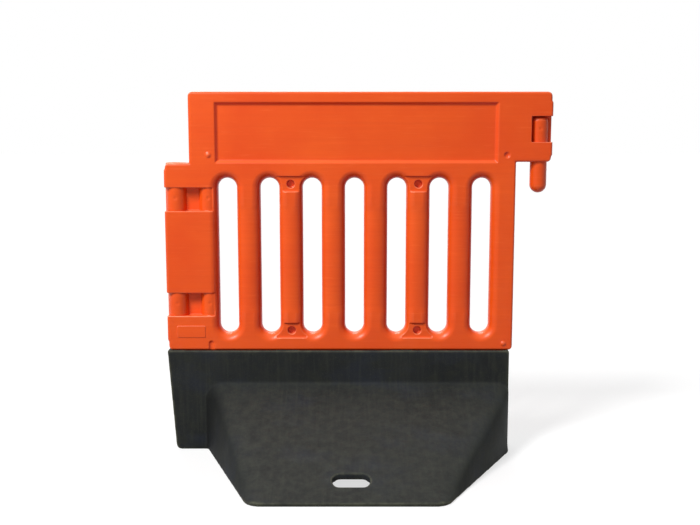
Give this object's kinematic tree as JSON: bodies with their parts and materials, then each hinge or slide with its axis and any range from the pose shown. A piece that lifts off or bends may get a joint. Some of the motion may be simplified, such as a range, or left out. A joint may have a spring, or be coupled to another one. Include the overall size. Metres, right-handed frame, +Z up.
{
  "type": "pedestrian barrier",
  "caption": "Slatted orange plastic pedestrian barrier panel with hinge pin and socket ends, standing in a dark ramped base that it lifts out of.",
  "frame": {"origin": "on the ground, below the middle of the whole part's box", "axes": "+X along the panel from its hinge socket to its hinge pin, -Y to the front where the ramp is, +Z up"},
  "size_m": [1.0635, 0.5, 1.0003],
  "materials": {
    "panel_plastic": "satin",
    "base_rubber": "matte"
  },
  "bodies": {
    "base": {"base_moulding": "base_rubber"},
    "panel": {"front_shell": "panel_plastic", "rear_shell": "panel_plastic", "hinge_tube": "panel_plastic", "hinge_pin": "panel_plastic"}
  },
  "joints": [
    {"name": "panel_lift", "type": "slide", "parent": "base", "child": "panel", "axis": [0, 0, 1], "range_m": [0, 0.192]}
  ]
}
